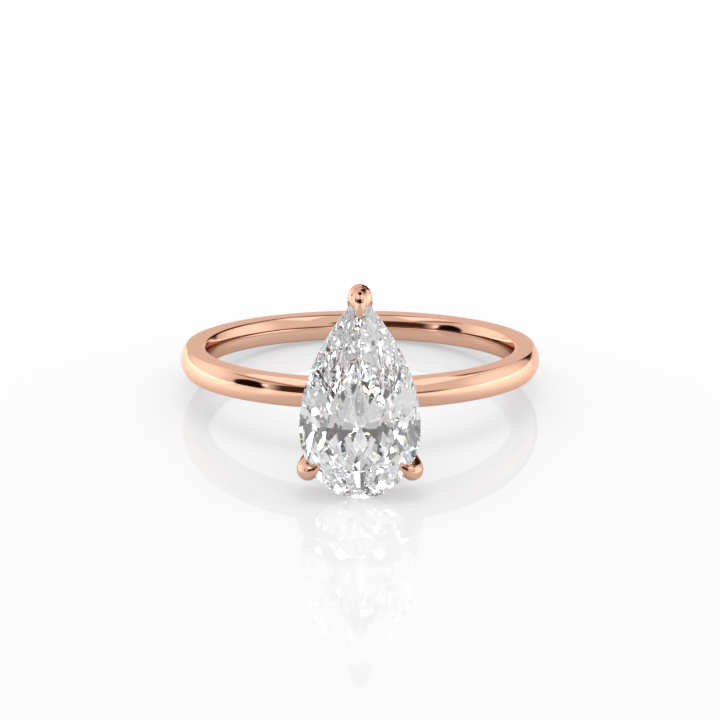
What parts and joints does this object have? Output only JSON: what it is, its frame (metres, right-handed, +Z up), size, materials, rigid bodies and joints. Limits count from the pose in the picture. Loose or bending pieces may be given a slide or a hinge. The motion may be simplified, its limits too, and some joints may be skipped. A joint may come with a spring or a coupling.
{
  "type": "solitaire engagement ring",
  "caption": "Rose gold solitaire ring: a slim comfort-fit band with a pegged claw basket that holds a pear-cut diamond, point up.",
  "frame": {"origin": "centre of the ring's footprint, on the table that it lies on", "axes": "+Z up from the table; -Y the way the stone faces; +X to the right of a viewer who faces the stone. The ring lies on its side, resting on the back of the band and on the round end of the stone, so the finger hole's axis leans 7.5 degrees from +Z towards +Y"},
  "size_m": [0.0196, 0.0262, 0.0108],
  "materials": {
    "rose_gold": "polished 14 carat rose gold",
    "diamond": "faceted and polished, colourless"
  },
  "bodies": {
    "root": {"band": "rose_gold", "head_base": "rose_gold", "lower_gallery_rail": "rose_gold", "upper_gallery_rail": "rose_gold", "point_claw": "rose_gold", "left_claw": "rose_gold", "right_claw": "rose_gold", "pear_diamond": "diamond"}
  },
  "joints": []
}
